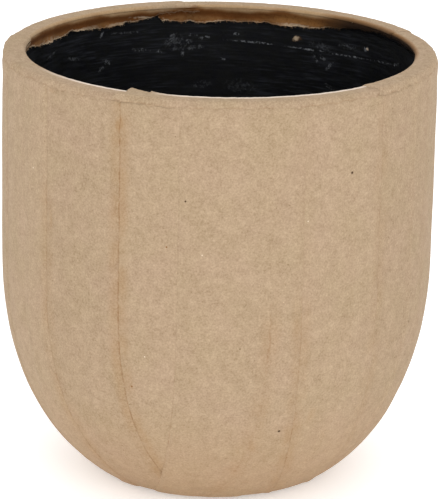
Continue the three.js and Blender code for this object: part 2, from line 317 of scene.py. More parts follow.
def add_node(kind, *sources, named=None, **options):
    """Adds a node. Sources feed its inputs in order, and named ones feed the input of that name."""
    node = bench["tree"].nodes.new(kind)
    for option, value in options.items():
        setattr(node, option, value)
    inputs = [socket for socket in node.inputs if socket.enabled]
    pairs = list(zip(inputs, sources))
    for name, source in (named or {}).items():
        pairs.append((next(s for s in inputs if name in (s.identifier, s.name)), source))
    for socket, source in pairs:
        if isinstance(source, Value):
            bench["tree"].links.new(source.socket, socket)
        else:
            socket.default_value = source
    return Value(node)


# %% Nodes for numbers
def calc(operation, *sources):
    """A sum, by the name that the node has for it."""
    return add_node("ShaderNodeMath", *sources, operation=operation)


def ranged(value, start, end, low, high, **options):
    """Low where the value is at the start, high at the end, and even between them."""
    return add_node("ShaderNodeMapRange", value, start, end, low, high, **options)


def eased(value, start, end, low, high):
    """Low where the value is at the start, high at the end, and a soft step between them."""
    return ranged(value, start, end, low, high, interpolation_type="SMOOTHSTEP")


def mixed(share, first, second):
    """A number between two numbers."""
    return add_node("ShaderNodeMix", share, first, second)


# %% Nodes for vectors and patterns
def parts(whole):
    """The three parts of a vector."""
    separate = add_node("ShaderNodeSeparateXYZ", whole)
    return [separate[axis] for axis in "XYZ"]


def vector(*values):
    """A vector from its three parts."""
    return add_node("ShaderNodeCombineXYZ", *values)


def vector_calc(operation, *sources):
    """A sum with vectors, by the name that the node has for it."""
    return add_node("ShaderNodeVectorMath", *sources, operation=operation)


def scaled(direction, length):
    """A vector made longer or shorter."""
    return add_node("ShaderNodeVectorMath", direction, named={"Scale": length}, operation="SCALE")


def turned(place, angle, axis=(0, 0, 1)):
    """A place turned round an axis."""
    return add_node("ShaderNodeVectorRotate", place, (0, 0, 0), axis, angle)


def noise(place, size, detail, **more):
    """Soft noise whose lumps have this size."""
    return add_node("ShaderNodeTexNoise", place, named={"Scale": 1 / size, "Detail": detail, **more})


def line_noise(place, size, number, detail, **more):
    """The same noise along a line, and another line for each number."""
    return add_node("ShaderNodeTexNoise", named={
        "W": place * (1 / size) + number, "Scale": 1, "Detail": detail, **more}, noise_dimensions="1D")


# %% Nodes for shapes
def new_tree(name, inputs, output="Geometry", output_kind="Geometry"):
    """Puts a geometry tree on the bench, with named inputs that are given as name: socket type."""
    tree = bench["tree"] = bpy.data.node_groups.new(name, "GeometryNodeTree")
    for socket, kind in inputs.items():
        tree.interface.new_socket(socket, in_out="INPUT", socket_type="NodeSocket" + kind)
    tree.interface.new_socket(output, in_out="OUTPUT", socket_type="NodeSocket" + output_kind)
    return tree, add_node("NodeGroupInput")


def own_place():
    """Where each point of a shape is."""
    return add_node("GeometryNodeInputPosition")


def shape_of(guide):
    """The shape of a guide object."""
    return add_node("GeometryNodeObjectInfo", guide)["Geometry"]


def at_point(guide, index, value, data_type="FLOAT_VECTOR"):
    """A value at one point of a guide."""
    return add_node("GeometryNodeSampleIndex", guide, value, index, data_type=data_type)


def row_of(down, rows):
    """The number of a row of the block, from its place between -0.5 and 0.5."""
    return calc("ROUND", (down + 0.5) * (rows - 1))


# %% Nodes that finish a shape
def with_notes(shape, notes):
    """Stores notes on a shape: each is a vector, or its three parts, under a name."""
    for name, note in notes.items():
        note = vector(*note) if isinstance(note, tuple) else note
        shape = add_node("GeometryNodeStoreNamedAttribute", shape, True, name, note,
                         data_type="FLOAT_VECTOR")
    return shape


def smoothed(shape, sharp_angle):
    """Shades a shape smoothly, but for edges with at least this angle in degrees."""
    bend = add_node("GeometryNodeInputMeshEdgeAngle")["Unsigned Angle"]
    soft = add_node("FunctionNodeCompare", bend, math.radians(sharp_angle), operation="LESS_THAN")
    return add_node("GeometryNodeSetShadeSmooth", shape, soft, True, domain="EDGE")


def finish_tree(shape, material):
    """Ends a tree: the shape becomes plain mesh and gets its material."""
    real = add_node("GeometryNodeRealizeInstances", shape)
    add_node("NodeGroupOutput", add_node("GeometryNodeSetMaterial", real, named={"Material": material}))
    print("The tree", bench["tree"].name, "has", len(bench["tree"].nodes), "nodes")


# %% [markdown]
# ## Hand-made unevenness
# A pulp bowl dries a little out of round, and each layer of paper follows the one below. All the pieces
# share one field of gentle dents, less than a millimetre deep, so the layers stay parallel. It only
# pushes inwards, which keeps the pot inside the size of its frame, and it fades out at the rim.

# %% A shared field of dents
DENT_DEPTH = 0.9 * MM
DENT_SIZE = 42 * MM
BUCKLE_SIZE = 13 * MM
BUCKLE_SHARE = 0.28
# Heights between which the dents fade, and how much of them is left at the rim
DENT_FADE = (POT_HEIGHT - 18 * MM, POT_HEIGHT - 4 * MM)
LEFT_AT_RIM = 0.2

dents, given = new_tree("hand_made_unevenness", {"Place": "Vector"}, "Shift", "Float")
uneven = mixed(BUCKLE_SHARE, noise(given["Place"], DENT_SIZE, 1), noise(given["Place"], BUCKLE_SIZE, 2))
_, _, height = parts(given["Place"])
push = eased(height, *DENT_FADE, -DENT_DEPTH, -LEFT_AT_RIM * DENT_DEPTH)
add_node("NodeGroupOutput", uneven * push)
print("Dents up to", DENT_DEPTH / MM, "mm deep and about", DENT_SIZE / MM, "mm across")


def dent_at(place):
    """How far the dents push a place in."""
    return add_node("GeometryNodeGroup", named={"Place": place}, node_tree=dents)["Shift"]


# %% [markdown]
# ## Running a tree
# A tree runs on an empty mesh, and its result is kept as a plain mesh that rides with the pot and stands
# for the frame's own piece. An outline goes in as a curve of straight steps.

# %% Helpers that run a tree
guides = []


def add_object(name, data):
    """Puts an object with this data into the scene."""
    thing = bpy.data.objects.new(name, data)
    scene.collection.objects.link(thing)
    return thing


def as_curve(name, outline):
    """An outline as a curve in the XZ plane, for the trees to read."""
    curve = bpy.data.curves.new(name, "CURVE")
    curve.dimensions = "3D"
    spline = curve.splines.new("POLY")
    spline.points.add(len(outline) - 1)
    for point, (r, z) in zip(spline.points, outline):
        point.co = (r, 0, z, 1)
    guide = add_object(name, curve)
    guides.append(guide)
    return guide


def grow(name, tree, settings):
    """Runs a tree with these settings and keeps the mesh that comes out."""
    piece = add_object(name, bpy.data.meshes.new(name))
    modifier = piece.modifiers.new(tree.name, "NODES")
    modifier.node_group = tree
    for item in tree.interface.items_tree:
        if item.in_out == "INPUT" and item.name in settings:
            modifier[item.identifier] = settings[item.name]
    graph = bpy.context.evaluated_depsgraph_get()
    mesh = bpy.data.meshes.new_from_object(
        piece.evaluated_get(graph), preserve_all_data_layers=True, depsgraph=graph)
    piece.modifiers.remove(modifier)
    piece.data = mesh
    mesh.name = name
    print(name, "has", sum(len(face.vertices) - 2 for face in mesh.polygons), "triangles")
    return piece


def settle(piece, slot, *nodes):
    """Lets a finished piece ride with the pot, in place of the frame's nodes."""
    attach(piece, "root")
    if nodes:
        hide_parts(*nodes)


# %% [markdown]
# ## Finishes: a start
# Colours are given as the hex values that a screen shows, and one function turns them to the linear
# values that the renderer works in. Each finish is a tree on the material of one slot.

# %% Colours and an empty material
def colour(hex_value):
    """A screen colour as linear red, green, blue and alpha."""
    channels = [int(hex_value[i:i + 2], 16) / 255 for i in (1, 3, 5)]
    return [c / 12.92 if c <= 0.04045 else ((c + 0.055) / 1.055) ** 2.4 for c in channels] + [1]


def new_material(name):
    """An empty material, with its tree on the bench."""
    material = bpy.data.materials.new(name)
    material.use_nodes = True
    bench["tree"] = material.node_tree
    material.node_tree.nodes.clear()
    return material


def object_place():
    """Where the shaded point is on the finished object."""
    return add_node("ShaderNodeTexCoord")["Object"]


def stored(name):
    """A note that a piece carries, as a vector."""
    return add_node("ShaderNodeAttribute", attribute_name=name)["Vector"]


def blend(share, under, over):
    """A share of one colour over another. Either can be a hex value."""
    under, over = [colour(c) if isinstance(c, str) else c for c in (under, over)]
    return add_node("ShaderNodeMix", share, under, over, data_type="RGBA")


def finish_material(paint, roughness, relief, depth, strength, ior=1.45, level=0.3):
    """Ends a material: its colour, its roughness and the height of its relief."""
    bump = add_node("ShaderNodeBump", named={"Strength": strength, "Distance": depth, "Height": relief})
    shader = add_node("ShaderNodeBsdfPrincipled", paint, named={
        "Roughness": roughness, "IOR": ior, "Specular IOR Level": level, "Normal": bump})
    add_node("ShaderNodeOutputMaterial", shader)
    print("The finish has", len(bench["tree"].nodes), "nodes")


# %% [markdown]
# ## Paper that every sheet shares
# Kraft paper is made of unbleached wood fibres laid down wet, so it is a warm tan with a cloudy look,
# fine grain, and a few dark bark specks and pale fibres. It is matte, with hardly any sheen. The clouds
# come first, then the grain, then the specks, each at the size that it has on the real sheet. The grain of
# real paper is about 0.3 mm, too fine to show here, so it is drawn at 1.2 mm. Each sheet was cut from
# another part of the roll, so its number shifts the pattern and makes it a little lighter or darker.

# %% Tone and relief of kraft paper
CLOUD_SIZE = 24 * MM
BLOTCH_SIZE = 6 * MM
GRAIN_SIZE = 1.2 * MM
GRAIN_CONTRAST = 0.32
BLOTCH_CONTRAST = 0.15
SHEET_STEP = (0.31, 0.17, 0.43)
DEEP_TAN = "#7e684c"
PALE_TAN = "#c2aa8f"
OLIVE_TAN = "#9b8765"
ROSY_TAN = "#aa8d78"
TINT_SHARE = 0.2
# The darkest and the lightest part of the roll
ROLL_TONES = (0.46, 0.54)


def kraft_base():
    """The clouds and grain of kraft paper: place in the roll, tint, tone from 0 to 1 and grain."""
    _, _, number = parts(stored("sheet"))
    place = vector_calc("ADD", object_place(), scaled(SHEET_STEP, number))
    tint = blend(ranged(noise(place, CLOUD_SIZE, 2), 0.3, 0.7, 0, 1), ROSY_TAN, OLIVE_TAN)
    from_roll = add_node("ShaderNodeTexWhiteNoise", named={"W": number}, noise_dimensions="1D")["Value"]
    tone = ranged(from_roll, 0, 1, *ROLL_TONES)
    blotch = noise(place, BLOTCH_SIZE, 3, Roughness=0.6)
    grain = noise(place, GRAIN_SIZE, 3, Roughness=0.65)
    for pattern, contrast in ((blotch, BLOTCH_CONTRAST), (grain, GRAIN_CONTRAST)):
        tone += ranged(pattern, 0.25, 0.75, -contrast, contrast)
    return place, tint, tone, grain


# %% [markdown]
# ## Fibres and specks in the paper
# Short fibres lie every way in the sheet, 2 to 4 mm long. Noise that is drawn out along one direction
# gives fibres that lie that way, and a few turned copies give all the ways. Bark specks are scattered
# cells of a Voronoi pattern, of which only some are drawn, the dark ones of 0.5 mm and the pale ones less.

# %% Fibres and specks
FIBRE_LENGTH = 3.4 * MM
FIBRE_WIDTH = 0.42 * MM
FIBRE_WAYS = (14, 63, 118, 157)
# How far the pattern of fibres moves on from one sheet to the next
FIBRE_STEP = 7.3
SPECKS = (
    # spacing, radius, share of the cells that hold one, how much darker or lighter
    (9 * MM, 0.55 * MM, 0.35, -0.6),
    (23 * MM, 0.75 * MM, 0.4, -1.2),
    (7 * MM, 0.5 * MM, 0.3, 0.5),
)


def fibres_in():
    """Fibres every way in the sheet, as a value round a half."""
    strongest = 0.0
    for angle in FIBRE_WAYS:
        laid = turned(stored("sheet"), math.radians(angle))
        drawn_out = vector_calc("MULTIPLY", laid, (MM / FIBRE_LENGTH, MM / FIBRE_WIDTH, FIBRE_STEP))
        strongest = calc("MAXIMUM", noise(drawn_out, 1, 1), strongest)
    return strongest


def specks_in(place, tone):
    """Adds bark specks and pale shives to a tone."""
    for spacing, radius, share, strength in SPECKS:
        cells = add_node("ShaderNodeTexVoronoi", place, named={"Scale": 1 / spacing})
        chance = add_node("ShaderNodeSeparateColor", cells["Color"])
        drawn = calc("LESS_THAN", chance["Red"], share) * (chance["Green"] * strength)
        tone += eased(cells["Distance"], 0.6 * radius / spacing, 1.3 * radius / spacing, 1, 0) * drawn
    return tone


def kraft_sheet(fibre_contrast):
    """Plain kraft paper: its place in the roll, its colour, its fibres and its grain."""
    place, tint, tone, grain = kraft_base()
    fibres = fibres_in()
    tone = specks_in(place, tone) + ranged(fibres, 0.55, 0.8, -0.04, fibre_contrast)
    return place, blend(TINT_SHARE, blend(tone, DEEP_TAN, PALE_TAN), tint), fibres, grain


# %% [markdown]
# ## Marks at a place
# Some marks are where they are by chance: a dark fleck, a drop of glue, a scrape. Each is an oval spot that
# is given by its azimuth from the front, its height and its size, so it stays small in the tree.

# %% A mark at a place
# A mark fades out between these shares of its half length
MARK_EDGE = (0.45, 1.1)


def radius_at(height, outline):
    """The radius of an outline at a height, from its last point that passes there."""
    for (r1, z1), (r2, z2) in zip(outline, outline[1:]):
        if min(z1, z2) <= height <= max(z1, z2):
            return r1 + (r2 - r1) * (height - z1) / (z2 - z1 or 1)
    return outline[-1][0]


def radius_and_height():
    """How far the shaded point is from the pot's axis, and its height."""
    here = object_place()
    level = vector_calc("MULTIPLY", here, (1, 1, 0))
    return vector_calc("LENGTH", level)["Value"], parts(here)[2]


def mark_at(outline, azimuth, height, length, width, tilt=0, ragged=0.0):
    """An oval spot on an outline, 1 in its middle and 0 outside. Angles in degrees, lengths in mm."""
    radius = radius_at(height * MM, outline)
    turn = math.radians(azimuth)
    centre = (radius * math.sin(turn), -radius * math.cos(turn), height * MM)
    away = vector_calc("SUBTRACT", object_place(), centre)
    away = turned(turned(away, -turn), math.radians(tilt), axis=(0, 1, 0))
    away = vector_calc("MULTIPLY", away, (2 / (length * MM), 0.3 / (length * MM), 2 / (width * MM)))
    return eased(vector_calc("LENGTH", away)["Value"] + ragged, *MARK_EDGE, 1, 0)


def with_marks(paint, outline, marks, ragged):
    """Paints marks that have a strength and a colour each."""
    for *spot, strength, mark_colour in marks:
        paint = blend(mark_at(outline, *spot, ragged) * strength, paint, mark_colour)
    return paint


# %% [markdown]
# ## Finish of the wall: strips with glue at their edges
# Where a strip ends, a little glue was squeezed out and dried brown. It shows as a fine broken line, with a
# faint stain beside it. The strips carry their distance to each edge, so the line follows the paper.
# Strong, even lines would look drawn on, so noise breaks them up.

# %% Glue lines and stains
LINE_WIDTH = 0.9 * MM
LINE_STRENGTH = 0.66
STAIN_WIDTH = 9 * MM
STAIN_STRENGTH = 0.33
PAPER_ROUGHNESS = 0.93
GLUE_BROWN = "#7d5428"
STAIN_BROWN = "#967146"
BARK_BROWN = "#45301e"
WARM_TAN = "#aa8560"
WARM_HEIGHT = 80 * MM
SHIVE_CREAM = "#d6c5ae"
# Azimuth in degrees, height, length and width in millimetres, strength
WALL_STAINS = [
    (-48.1, 273.1, 12, 5, 0.5), (-25.6, 262, 9, 16, 0.7), (-47.6, 190.2, 5, 16, 0.6),
    (28.4, 72.3, 10, 22, 0.6), (11.8, 52.2, 9, 14, 0.6),
]
WALL_FLECKS = [
    (-7.8, 217.2, 1.6, BARK_BROWN), (-12.5, 187.3, 1.4, GLUE_BROWN), (36.3, 230.0, 2.1, BARK_BROWN),
    (19.4, 63.3, 2.1, BARK_BROWN), (-22.2, 92.9, 1.5, GLUE_BROWN), (-55.2, 220.0, 1.4, SHIVE_CREAM),
    (-3.4, 183.6, 1.1, SHIVE_CREAM), (23.7, 202.9, 1.1, SHIVE_CREAM), (-18.1, 114.8, 1.2, SHIVE_CREAM),
]

# %% A dried glue line
def glue_line(distance, strength, dots, width):
    """How much of a dried glue line shows at a distance in millimetres from an edge."""
    return eased(calc("ABSOLUTE", distance), 0.25 * width / MM, width / MM, 1, 0) * strength * dots


# %% Paint the wall paper
wall_paper = new_material("recycled_kraft_paper")
place, paper, fibres, grain = kraft_sheet(0.16)
from_left, from_right, covered = parts(stored("edges"))
right_strength, left_strength, ridge_strength = parts(stored("seams"))
ridge, covered_strength, _ = parts(stored("under"))

runs = ranged(noise(place, 16 * MM, 2), 0.35, 0.62, 0.25, 1)
broken = ranged(noise(place, 2.6 * MM, 2), 0.38, 0.64, 0.05, 1) * runs
lines = stains = 0.0
for distance, strength, wider, stained in (
        (from_left, left_strength, 1, False), (from_right, right_strength, 1, True),
        (ridge, ridge_strength, 1.6, True), (covered, covered_strength, 0.7, True)):
    lines = calc("MAXIMUM", lines, glue_line(distance, strength, broken, wider * LINE_WIDTH))
    if stained:
        stains = calc("MAXIMUM", stains, glue_line(distance, strength, runs, STAIN_WIDTH))
for *spot, strength in WALL_STAINS:
    stains += mark_at(outer_face, *spot, ragged=ranged(runs, 0.25, 1, 0.5, 0)) * strength
# The paper is a little warmer towards the bottom
_, height = radius_and_height()
paper = blend(ranged(height, 0, WARM_HEIGHT, 0.3, 0), paper, WARM_TAN)
paper = blend(stains * STAIN_STRENGTH, paper, STAIN_BROWN)
paper = blend(lines * LINE_STRENGTH, paper, GLUE_BROWN)
for azimuth, height, size, fleck_colour in WALL_FLECKS:
    paper = blend(mark_at(outer_face, azimuth, height, size, size), paper, fleck_colour)
finish_material(paper, PAPER_ROUGHNESS, fibres * 0.6 + grain, 0.12 * MM, 0.5)

# %% [markdown]
# ## Finish of the rim: the same paper, torn and soaked with glue, with painted light and shade
# Inside the mouth the paper was worked on with more glue, so it is darker and more golden under the lip,
# and painted shade darkens the crease under the lip further. At the back the glue and the painted shade
# come further up. The fold over the mouth gets a painted highlight at the front and painted light at the
# back. The edges were torn, not cut, which leaves pale loose fibres.

# %% Rim paper
# The damp and soaked browns are glue in the paper, and also painted shade on the lip's face and in the
# crease under it
SOAKED_AND_SHADED_BROWN = "#68390f"
DAMP_AND_SHADED_BROWN = "#8a6137"
TORN_CREAM = "#ccb598"
PAINTED_BROWN = "#25160b"
GOLDEN_BROWN = "#c08a4c"
# The pale colour paints a highlight on the front of the fold over the mouth, and the tan paints light on
# its shaded back
PAINTED_HIGHLIGHT_PALE = "#e6d8ca"
PAINTED_LIGHT_TAN = "#b48f60"
# Where the flap stayed dry or took little glue: azimuth in degrees, height, length and width in
# millimetres, tilt in degrees, strength, colour
DRY_PATCHES = [
    (155, 272, 64, 9, 0, 0.35, GOLDEN_BROWN), (-118, 264, 52, 14, 0, 0.72, TORN_CREAM),
    (-134, 269, 36, 4.5, 0, 0.62, TORN_CREAM), (-147, 268.8, 26, 3.6, 0, 0.65, TORN_CREAM),
    (-157, 271.4, 30, 3, 6, 0.8, TORN_CREAM), (156, 268.2, 34, 3.4, 0, 0.85, TORN_CREAM),
]
# Where the glue and the painted shade start further down the lip, by these millimetres
LATER_SOAKING_AND_SHADE = [(-154, 275, 60, 34, 1.7), (172, 275, 46, 34, 1.5)]

# At the back right the coat was brushed up onto the paper. The vector points there from the pot's axis,
# and its length makes the product with a place at the mouth 1 in the middle of that part.
COATED_AZIMUTH = math.radians(114)
COATED_WAY = (math.sin(COATED_AZIMUTH) / mouth_radius, -math.cos(COATED_AZIMUTH) / mouth_radius, 0)

# %% Paint the rim paper: how far in the glue is
rim_paper = new_material("torn_kraft_paper")
place, paper, fibres, grain = kraft_sheet(0.2)
from_skirt, from_flap, past_lip = parts(stored("torn"))
from_left_end, _, _ = parts(stored("ends"))
_, towards_back, _ = parts(object_place())
# How far in the glue and the painted shade are, in millimetres past the lip. They come further up over the
# lip at the back.
depth = past_lip + ranged(noise(place, 23 * MM, 2), 0.3, 0.7, -1.3, 1.3)
depth += ranged(towards_back, 0, 60 * MM, 0, 1.4)
for *spot, shift in LATER_SOAKING_AND_SHADE:
    depth += mark_at(rim_face, *spot) * -shift

# %% Paint the rim paper: painted light on the fold
# The fold over the mouth gets painted light: a pale painted highlight at the front, and at the back a
# lighter tan that stands in for light on the shaded face of the lip. The loose end keeps its colour. The
# painted light starts, is full, wanes and ends at these places past the lip, and grows between two places
# towards the front or the back.
past_loose_end = ranged(from_left_end, 22, 42, 0, 1)
for strength, none, all_of_it, starts, full, wanes, ends, rubbed_and_painted_light in (
        (0.45, 0, 60, -4.2, -2.4, 0.5, 2, PAINTED_LIGHT_TAN),
        (0.75, -60, -100, -6.6, -5.4, -3.2, -2.4, PAINTED_HIGHLIGHT_PALE)):
    where = ranged(towards_back, none * MM, all_of_it * MM, 0, strength) * past_loose_end
    share = eased(past_lip, starts, full, 0, where) * eased(past_lip, wanes, ends, 1, 0)
    paper = blend(share, paper, rubbed_and_painted_light)

# %% Paint the rim paper: damp, soaked and dry, with painted shade
# Damp with glue from the face of the lip onwards, and soaked in the crease under it. Both browns also paint
# shade there, on the lip's face and in the crease.
paper = blend(eased(depth, -1.8, 1.6, 0, 0.95), paper, DAMP_AND_SHADED_BROWN)
paper = blend(eased(depth, -0.8, 2.2, 0, 0.85) * eased(depth, 4.4, 7.4, 1, 0.3), paper, SOAKED_AND_SHADED_BROWN)
blots = noise(place, 2.4 * MM, 3, Distortion=0.5)
paper = with_marks(paper, rim_face, DRY_PATCHES, ranged(blots, 0.3, 0.7, 0.55, -0.25))
paper = blend(ranged(blots, 0.46, 0.66, 0, 0.5) * ranged(depth, -0.6, 1, 0, 1), paper, SOAKED_AND_SHADED_BROWN)

# %% Paint the rim paper: its edges, and the coat on it
# The torn edge is pale, here more and there less
rag = ranged(noise(place, 1.8 * MM, 2), 0.3, 0.7, 0.3, 1.5)
bright = ranged(noise(place, 21 * MM, 1), 0.4, 0.6, 0.25, 1)
paper = blend(eased(from_flap / rag, 0.2, 1.4, 0.85, 0) * bright, paper, TORN_CREAM)
# The coat on the paper at the back right, damp at its edge
painted = eased(vector_calc("DOT_PRODUCT", object_place(), COATED_WAY)["Value"], 0.8, 0.93, 0, 1)
for starts, full, strength, wet in ((-5, -2.4, 0.8, DAMP_AND_SHADED_BROWN), (-4, -0.8, 0.96, PAINTED_BROWN)):
    paper = blend(painted * eased(past_lip, starts, full, 0, strength), paper, wet)
# A faint, broken line of glue along the torn outer edge
broken = ranged(noise(place, 9 * MM, 3), 0.42, 0.62, 0, 0.2)
paper = blend(eased(from_skirt, 0.3, 1.6, 1, 0) * broken, paper, GLUE_BROWN)
finish_material(paper, PAPER_ROUGHNESS, fibres * 0.7 + grain, 0.15 * MM, 0.6)

# %% [markdown]
# ## Finish of the inside
# The coat is a waterproof black, brushed on in rings, so it is satin with fine streaks round the bowl. It
# has greyish scuffs, and a few bits of torn paper stick to it.

# %% Black coat
COAT_BLACK = "#07080d"
COAT_SHADE = "#0a0b0a"
BRUSH_GREY = "#26282e"
SCUFF_GREY = "#8e9196"
STREAK_LENGTH = 17 * MM
STREAK_HEIGHT = 1.1 * MM
# Azimuth in degrees, height, length and width in millimetres, tilt in degrees, strength
SCUFFS = [
    (-167, 252.5, 26, 12, 0, 0.25), (-169, 254, 12, 6, 25, 0.42), (-165.5, 257, 7, 4, -30, 0.35),
    (-171.4, 257.5, 9, 2.6, 5, 0.9), (-175, 255.6, 9, 3, -10, 0.7), (-168.5, 245.5, 3, 7, 10, 0.8),
    (-161, 247.4, 6, 3, 10, 1), (-155, 249, 16, 3, 8, 0.3), (-172.5, 249, 14, 4, -8, 0.3),
    (175.4, 258.5, 5, 2.5, 0, 0.9), (170, 253.5, 38, 1.7, 2, 0.95), (153, 252.3, 36, 1.7, 0, 1),
    (137, 252.8, 44, 1.5, -3, 0.7), (121, 255.5, 34, 1.5, -5, 0.6), (148, 256, 22, 6, 5, 0.22),
    (138, 259, 20, 5, 0, 0.2), (131, 260.4, 5, 5, 40, 1), (116, 257, 12, 2.4, -20, 0.8),
    (150, 246.5, 10, 3, 50, 0.4), (145, 243, 12, 3, -50, 0.45), (147.5, 248, 8, 3, 20, 0.5),
    (179.3, 241, 5, 2.4, 0, 0.9), (-143.5, 243.3, 8, 4, 35, 0.7), (-141.5, 239, 7, 4, -30, 0.6),
    (-174.5, 223, 18, 6, -6, 0.15), (174, 222, 26, 11, 4, 0.13), (145, 229, 9, 3, 20, 0.5),
    (-120, 257, 16, 2, -20, 0.3), (-130, 250, 18, 3, 12, 0.4), (-150, 262, 40, 2, 3, 0.35),
    (172, 205, 30, 6, 12, 0.3), (140, 215, 20, 5, -15, 0.3), (20, 180, 24, 5, 12, 0.4),
    (-60, 150, 18, 6, -25, 0.4), (75, 220, 22, 3, 6, 0.4), (-15, 120, 16, 8, 30, 0.35),
    (40, 240, 30, 2, 3, 0.5), (-80, 235, 18, 5, 30, 0.4),
]
# Bits of paper stuck in the coat: azimuth in degrees, height, length, width, tilt, strength, colour
PAPER_BITS = [
    (156.3, 258.6, 9, 5, -20, 0.22, GLUE_BROWN), (156.6, 258.8, 6, 4.4, -35, 0.75, TORN_CREAM),
    (-141.6, 262.6, 6, 2.6, -50, 0.4, SCUFF_GREY), (130.4, 260.6, 3, 2.4, 30, 0.6, TORN_CREAM),
]

# %% Paint the coat
coat = new_material("brushed_black_waterproof_coat")
here = object_place()
ringed = vector_calc("MULTIPLY", here, (1 / STREAK_LENGTH, 1 / STREAK_LENGTH, 1 / STREAK_HEIGHT))
streaks = noise(ringed, 1, 3, Roughness=0.6, Distortion=0.4)
patches = ranged(noise(here, 30 * MM, 3), 0.36, 0.62, 0.1, 1)
black = blend(ranged(noise(here, 5 * MM, 3), 0.4, 0.6, 0, 1), COAT_BLACK, COAT_SHADE)
black = blend(ranged(streaks, 0.48, 0.7, 0, 1) * patches, black, BRUSH_GREY)
scratches = noise(here, 2.2 * MM, 4, Roughness=0.7, Distortion=0.6)
ragged = ranged(scratches, 0.3, 0.7, 0.5, -0.2)
scuffed = 0.0
for *spot, strength in SCUFFS:
    scuffed = calc("MAXIMUM", mark_at(liner_face, *spot, ragged) * strength, scuffed)
black = blend(scuffed * ranged(scratches, 0.46, 0.68, 0, 1), black, SCUFF_GREY)
black = with_marks(black, liner_face, PAPER_BITS, ragged)
finish_material(black, ranged(streaks, 0.35, 0.65, 0.45, 0.62), scratches * 0.4 + streaks, 0.16 * MM, 0.5,
                ior=1.5, level=0.22)

# %% [markdown]
# Moulded pulp is grey-brown and lumpy, with short fibres of every tone, and the mould leaves it rough. The
# coat was brushed over the underside of the lip too, so the bowl is black there.

# %% Pulp
PULP_DEEP = "#7f6d55"
PULP_PALE = "#b3a184"

# %% Paint the pulp
pulp = new_material("moulded_paper_pulp")
lumps = noise(object_place(), 7 * MM, 5, Roughness=0.65)
shreds = noise(object_place(), 1.6 * MM, 3, Distortion=1.5)
bare_pulp = blend(ranged(mixed(0.5, lumps, shreds), 0.35, 0.65, 0, 1), PULP_DEEP, PULP_PALE)
radius, height = radius_and_height()
inside = calc("LESS_THAN", radius, inner_wall_radius + 0.5 * MM)
below_lip = ranged(height, lip_top - 1.8 * MM, lip_top - 2.6 * MM, 0, 1)
over_floor = calc("GREATER_THAN", height, floor_top - 1 * MM)
paint = blend(inside * below_lip * over_floor, bare_pulp, COAT_BLACK)
finish_material(paint, 0.95, shreds * 0.3 + lumps, 0.6 * MM, 0.8, level=0.25)

# %% [markdown]
# ## Turned pieces: the bowl, its coat and the disc underneath
# On the bench these come from round moulds or are cut with a compass. In Blender a Screw modifier or Spin
# would do, but a tree can also press the shared dents into the shape. It bends a flat grid: across the
# grid runs the turn round the axis, and each row of the grid takes one point of the outline.

# %% The turning tree
turning, given = new_tree("turned_piece", {
    "Outline": "Object", "Outline points": "Int", "Segments": "Int", "Material": "Material"})
grid = add_node("GeometryNodeMeshGrid", 1, 1, given["Segments"] + 1, given["Outline points"])
flat_x, flat_y, _ = parts(own_place())
row = row_of(flat_y, given["Outline points"])
section = at_point(shape_of(given["Outline"]), row, own_place())
round_axis = turned(section, (flat_x + 0.5) * (2 * math.pi))
# The outline lies in the XZ plane at azimuth 90, so a quarter turn back brings its start to the front
shape = add_node("GeometryNodeSetPosition", grid, True, turned(round_axis, -math.pi / 2))
shape = add_node("GeometryNodeMergeByDistance", shape, named={"Distance": 0.02 * MM})
push = scaled(add_node("GeometryNodeInputNormal"), dent_at(own_place()))
shape = add_node("GeometryNodeSetPosition", shape, named={"Offset": push})
finish_tree(smoothed(shape, 35), given["Material"])

# %% Turn the bowl, the coat and the disc
DISC_EDGE = 0.35 * MM
disc_radius = fold_radius - DISC_INSET
disc_outline = [
    (0, 0),
    *arc((disc_radius - DISC_EDGE, DISC_EDGE), DISC_EDGE, -90, 0, 4),
    *arc((disc_radius - DISC_EDGE, DISC_THICKNESS - DISC_EDGE), DISC_EDGE, 0, 90, 4),
    (0, DISC_THICKNESS),
]
for name, outline, segments, material, slot, node in (
        ("pulp_bowl", bowl_outline, 192, pulp, "paper_pulp", "bowl_core"),
        ("black_coat", liner_outline, 256, coat, "black_liner", "waterproof_liner"),
        ("underside_disc", disc_outline, 128, wall_paper, "kraft_board", "base_disc")):
    piece = grow(name, turning, {
        "Outline": as_curve(name + "_outline", outline), "Outline points": len(outline),
        "Segments": segments, "Material": material})
    settle(piece, slot, node)

# %% [markdown]
# ## Upright strips
# Each strip is a band of paper 78 mm wide, glued from under the base up to the lip. The strips were laid
# one after another leftwards, so each lies over the left part of its right neighbour, and where the pot
# narrows they lap more. The tree starts from a flat block with the paper's two faces, and bends it.
# A strip rises by one layer just before each left edge that it passes over, and its own cut edges are
# pressed down by the thumb that smoothed them.

# %% The strip tree: across and along
NEIGHBOURS = 3
# A strip's own edges, the ridge over the edge of the strip beneath, and the edge of the strip on top
GLUED_EDGES = ("Right edge", "Left edge", "Ridge", "Covered edge")
strips, given = new_tree("paper_strip", {
    "Section": "Object", "Section points": "Int", "Columns": "Int", "Centre": "Float", "Width": "Float",
    "Lean": "Float", "Strips before": "Int", "Turns to first": "Float",
    **{f"Lean {n} to the right": "Float" for n in range(1, NEIGHBOURS + 1)},
    "Lean to the left": "Float", "Lean of first": "Float", "Lean of second": "Float",
    **{f"{edge} glue": "Float" for edge in GLUED_EDGES},
    **{f"{edge} glue top": "Float" for edge in GLUED_EDGES},
    "Sheet number": "Float", "Material": "Material"})
RISE_WIDTH = 6 * MM
EDGE_PRESS = 0.27 * MM
EDGE_PRESS_WIDTH = 4 * MM
EDGE_THINNING = 0.08
EDGE_CROWDING = 0.65
STAND_OFF = 0.3 * MM
# Heights between which the paper comes away from the bowl above the base, and closes up under the rim
STAND_OFF_STARTS = (6 * MM, 20 * MM)
STAND_OFF_ENDS = (252 * MM, 266 * MM)

# %% The strip tree: where each point of the block goes
block = add_node("GeometryNodeMeshCube", (1, 1, 1), given["Columns"] + 1, given["Section points"], 2)
flat_x, flat_y, flat_z = parts(own_place())
